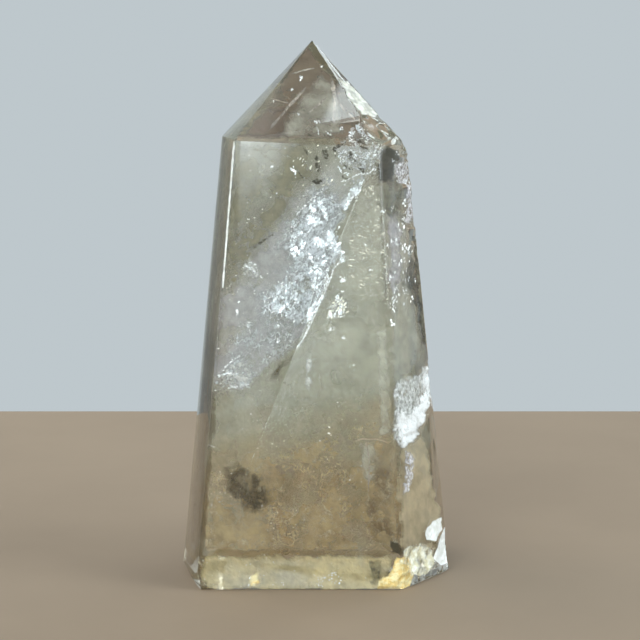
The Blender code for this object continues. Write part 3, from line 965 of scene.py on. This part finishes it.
def make_films():
    """Bruised, chipped and stained places on the surface, and painted highlights, glints and shade on it.
    """
    bruise = film_material("bruise", (0.52, 0.54, 0.52), (0.97, 0.98, 0.97), (0.25, 0.9), 1.6, 0.5)
    # White film: the chipped quartz of the oval, and painted highlight on the front left edge and on the
    # sliver.
    chips_and_highlight = film_material("chips_and_highlight", (0.8, 0.8, 0.74), (0.99, 0.99, 0.97), (0.9, 1.0), 0.9)
    cream = film_material("cream", (0.72, 0.66, 0.44), (0.98, 0.96, 0.82), (0.3, 1.0), 0.6)
    # Painted highlight: the pale film where the tip's right side shines.
    painted_highlight = film_material("painted_highlight", (0.72, 0.72, 0.6), (0.98, 0.98, 0.9), (0.45, 0.95), 0.8)
    amber = film_material("amber", (0.78, 0.55, 0.18), (0.93, 0.8, 0.43), (0.75, 1.0), 0.8)
    # Painted shade: a near-black film for the dark right edge.
    painted_shade = film_material("painted_shade", (0.04, 0.035, 0.02), (0.16, 0.15, 0.1), (0.6, 1.0), 0.5)
    # Painted glints: white flecks where the right side and its edge sparkle.
    painted_glitter = film_material("painted_glitter", (0.45, 0.42, 0.44), (0.98, 0.97, 0.99), (0.0, 1.0), 2.0)
    # Painted highlight: a white line along the front left edge.
    film("edge_front", FRONT_EDGE, chips_and_highlight, 0.35, 0.5, 0.5)
    # Painted highlight on the tip's right side.
    film("bruise_tip", TIP_BRIGHT, painted_highlight, 0.8, 2, 2)
    film("bruise_right", WHITE_PATCH, bruise, 0.8, 3, 3, WHITE_PATCH_EDGE)
    film("bruise_side", WHITE_SIDE, bruise, 0.3, 1.2, 2, WHITE_SIDE, cast=from_right)
    # Painted glints on the right side and its edge.
    film("glitter_line", GLITTER_LINE, painted_glitter, 0.8, 2.5)
    film("glitter_high", GLITTER_HIGH, painted_glitter, 0.8, 2)
    film("glitter_edge", RIGHT_EDGE, painted_glitter, 0.7, 1.5)
    # Painted shade along the right edge.
    film("shade_rim", DARK_EDGE, painted_shade, 0.6, 1, 1.2)
    film("chip_oval", OVAL, chips_and_highlight, 0.5, 0.8, 1)
    # The sliver is a chip whose white is partly painted highlight.
    film("chip_sliver", SLIVER, chips_and_highlight, 0.6, 0.8, 1)
    # Chipped lower right corner: cream partly of the chips themselves, partly painted sparkle.
    film("chips_low", RIGHT_LOW, cream, 0.8, 2, 3)
    film("stain_amber", AMBER, amber, 0.8, 2, 2)
    film("stain_left", AMBER_LEFT, amber, 0.8, 4, 2)


def make_fractures():
    """The veils: healed fractures that shine where their facets face the window."""
    silver = fracture_material("silver", (0.93, 0.97, 1.0), 0.08, 0.9, 0.4, 0.5, 0.4, (60, 1.6))
    silver_thin = fracture_material("thin", (0.93, 0.97, 1.0), 0.04, 0.7, 0.1, 0.1, 0.5, (60, 1.6))
    threads = fracture_material("threads", (0.93, 0.97, 1.0), 0.06, 0.7, 0.1, 0.05, 0.4)
    white = fracture_material("white", (0.97, 0.97, 0.93), 0.25, 0.8, 0.8)
    vein = fracture_material("vein", (0.86, 0.78, 0.68), 0.3, 0.4, 0.5)
    glint = glint_material("white", (0.97, 0.98, 0.98), 0.3)
    pearl = pearl_material("pearl", (0.93, 0.98, 1.0), 0.9)
    satin = pearl_material("satin", (0.96, 0.99, 1.0), 0.45, 0.36)
    bright = glint_material("bright", (0.95, 0.99, 1.0), 0.45)
    warm = fracture_material("warm", (0.86, 0.76, 0.54), 0.0, 0.45, 0.12, 0.0, 0.3)
    cream = glint_material("cream", (0.92, 0.9, 0.78), 0.45)

    sheet("veil_main", MAIN_VEIL, 0.6, silver, 1.2, 4, (0.3, 22), core=MAIN_CORE)
    sheet("veil_fan", FAN, 0.8, white)
    sheet("veil_left", LEFT_PATCH, 0.8, white)
    sheet("veil_lower", LOWER_LEFT, 0.8, white)
    sheet("veil_low", VEIL_LOW, 0.7, silver_thin, 1.2, 6)
    sheet("veil_brown", BROWN_CLOUD, 0.9, warm, 2, 5, soft=(40, BROWN_TOP))
    sheet("veil_wisp", WISP, 0.8, white)
    sheet("veil_shoulder", SHOULDER, 1, threads)

    flecks("lines_main", MAIN_LINES, 0.5, glint)
    for index, outline in enumerate(MAIN_BRIGHTS):
        flakes(f"bright_{index}", outline, 70, (0.8, 2.8), (0.3, 0.4), bright, 62, 1.8, 3, 5)
        flakes(f"satin_{index}", outline, 26, (2.5, 6), (0.28, 0.42), satin, 62, 1.8, 3)
    flecks("glints_border", BORDER_LINES, 0.4, glint)
    streaks("lines_border", BORDER_LINES, 0.5, white)
    flakes("pearls_core", MAIN_CORE, 360, (1, 4), (0.35, 0.7), pearl, 60, 1.4, 5, 22)
    flakes("glints_main", MAIN_VEIL, 120, (0.4, 1.2), (0.3, 0.9), glint, 60, 2.4, 5, 9)
    flakes("glints_core", MAIN_CORE, 260, (0.4, 1.6), (0.3, 0.6), glint, 60, 2.2, 4, 12)
    flakes("pearls_shoulder", SHOULDER, 10, (2, 5), (0.6, 1), satin, None, 2, 4, 12)
    flakes("glints_shoulder", SHOULDER, 60, (0.6, 2.6), (0.4, 1), glint, 45, 2.4, 7, 8)
    flecks("lines_shoulder", SHOULDER_LINES, 0.4, bright)
    flakes("glints_white", SHOULDER_WHITE, 60, (0.6, 2.6), (0.5, 1.5), glint, None, 2.4, 8, face=TIP_RIGHT)
    flakes("glints_lower", LOWER_LEFT, 40, (0.4, 1.6), (0.5, 1.5), glint, 20, 2, 5)
    flakes("glints_fan", FAN, 30, (0.4, 1.5), (0.3, 0.6), glint, 60, 2, 5)
    flakes("satin_fan", FAN, 18, (2, 5), (0.28, 0.4), satin, 60, 1.8, 3)
    flakes("pearls_fan", FAN, 90, (1, 3.2), (0.3, 0.4), cream, 60, 2, 3)
    flakes("pearls_lower", LOWER_LEFT, 40, (1.2, 3.2), (0.4, 0.6), pearl, 20, 1.6, 4)
    flakes("glints_left", LEFT_PATCH, 30, (0.4, 1.4), (0.5, 1.6), glint, -35, 2.6, 5)
    flakes("glints_front", FRONT_OUTLINE, 300, (0.4, 1.3), (0.3, 1), glint, 15, 2, 5, 30)
    flakes("glints_lavender", LAVENDER, 110, (0.4, 1.6), (0.3, 1), glint, 30, 2, 5, 16)
    flakes("cream_high", CREAM_HIGH, 26, (0.8, 4.4), (0.28, 0.38), cream, 50, 2.2, 4, 12)
    flakes("cream_edge", CREAM_EDGE, 40, (0.6, 2.2), (0.3, 0.6), cream, 70, 1.8, 6, 8)
    flakes("cream_dashes", CREAM_DASHES, 70, (1.5, 4.5), (0.3, 0.5), cream, -12, 4.5, 4, 8)
    flakes("glints_base", BASE_SPARKLE, 50, (0.5, 2), (0.3, 0.7), glint, None, 1.6, 6, 6)
    flakes("glints_band", BASE_BAND, 60, (0.3, 1), (0.3, 0.9), glint, None, 1.6, 7)
    flakes("glints_patch", WHITE_PATCH_EDGE, 90, (0.4, 1.6), (0.3, 0.6), glint, None, 1.5, 6, face=RIGHT)
    flakes("glints_low", RIGHT_LOW, 50, (0.8, 2.6), (0.5, 1), glint, None, 1.4, 8, face=RIGHT)
    flakes("glints_high", GLITTER_HIGH, 40, (1, 3), (0.3, 0.5), glint, None, 1.4, 6, face=RIGHT)
    flakes("glints_middle", GLITTER_MIDDLE, 130, (1, 3.6), (0.3, 0.6), glint, 70, 1.8, 5, 9, face=RIGHT)
    flakes("glints_edge", RIGHT_EDGE, 30, (1, 3), (0.3, 0.5), glint, 75, 2, 5, face=RIGHT)
    flakes("glints_line", GLITTER_LINE, 50, (0.4, 1.4), (0.3, 0.6), glint, 75, 1.8, 6, face=RIGHT)
    specks("specks_front", FRONT_SPECKS, 0.6, glint)
    specks("specks_tip", TIP_SPECKS, 1.2, glint, TIP)
    specks("specks_right", RIGHT_SPECKS, 0.5, glint, RIGHT)
    streaks("veins_tip", TIP_VEINS, 1, vein, TIP)
    streaks("streaks_low", PALE_STREAKS, 0.6, vein)
    streaks("crack_left", LEFT_CRACK, 1.5, white)


# ---- stage


def make_camera():
    data = bpy.data.cameras.new("camera")
    data.lens = CAMERA_LENS
    data.sensor_width = SENSOR_WIDTH
    data.clip_start = 0.01
    data.clip_end = 20.0
    camera = add_object("camera", data)
    turn = Matrix.Rotation(radians(90 - CAMERA_DOWN), 4, "X")
    camera.matrix_world = Matrix.Translation(CAMERA_PLACE) @ turn
    bpy.context.scene.camera = camera


def make_floor():
    bm = bmesh.new()
    bmesh.ops.create_grid(bm, x_segments=24, y_segments=24, size=0.5)
    length = FLOOR_BACK - FLOOR_FRONT
    bmesh.ops.scale(bm, vec=(FLOOR_HALF_WIDTH * 2, length, 1), verts=bm.verts[:])
    bmesh.ops.translate(bm, vec=(0, FLOOR_FRONT + length / 2, -FLOOR_DROP), verts=bm.verts[:])
    made, tree, shader = new_material("floor_pale", 0.7)
    feed(shader, "Base Color", ramp(noise_texture(tree, 0.02), [(0.3, FLOOR_DARK), (0.7, FLOOR_PALE)]))
    floor = mesh_object("floor", bm, made)


def make_world():
    """A pale room with broad soft lights in it."""
    world = bpy.data.worlds.new("room")
    bpy.context.scene.world = world
    world.use_nodes = True
    tree = world.node_tree
    place = add_node(tree, "TexCoord", {}).outputs["Generated"]

    def zone(direction, edges, strength):
        facing = add_node(tree, "VectorMath", {0: place, 1: direction}, operation="DOT_PRODUCT")
        span = {"Value": facing.outputs["Value"], "From Min": edges[0], "From Max": edges[1]}
        span["To Max"] = strength
        return add_node(tree, "MapRange", span, interpolation_type="SMOOTHSTEP").outputs["Result"]

    total = 1.0
    for bearing, height, half_width, strength in ROOM_LIGHTS:
        edges = [cos(radians(half_width * share)) for share in LIGHT_EDGE]
        light = zone(outward(bearing, height), edges, strength)
        total = add_node(tree, "Math", {0: total, 1: light}).outputs["Value"]
    down = zone((0, 0, -1), [sin(radians(angle)) for angle in FAR_FLOOR_EDGE], 1.0)
    background = tree.nodes["Background"]
    feed(background, "Color", mix_colour(down, WALL, FAR_FLOOR))
    feed(background, "Strength", total)


def make_lamp():
    data = bpy.data.lights.new("key", "AREA")
    data.size = 0.8
    data.energy = 7.0
    data.color = (1.0, 0.98, 0.95)
    lamp = add_object("key", data)
    lamp.location = LAMP_PLACE
    lamp.rotation_euler = (LAMP_AIM - LAMP_PLACE).to_track_quat("-Z", "Y").to_euler()


def render_settings():
    scene = bpy.context.scene
    scene.view_settings.view_transform = "Standard"
    scene.cycles.max_bounces = 24
    scene.cycles.transmission_bounces = 24
    scene.cycles.glossy_bounces = 12
    scene.cycles.diffuse_bounces = 6
    scene.cycles.transparent_max_bounces = 32


make_camera()
make_floor()
make_world()
make_lamp()
render_settings()
make_crystal()
make_haze()
make_clouds()
make_films()
make_fractures()
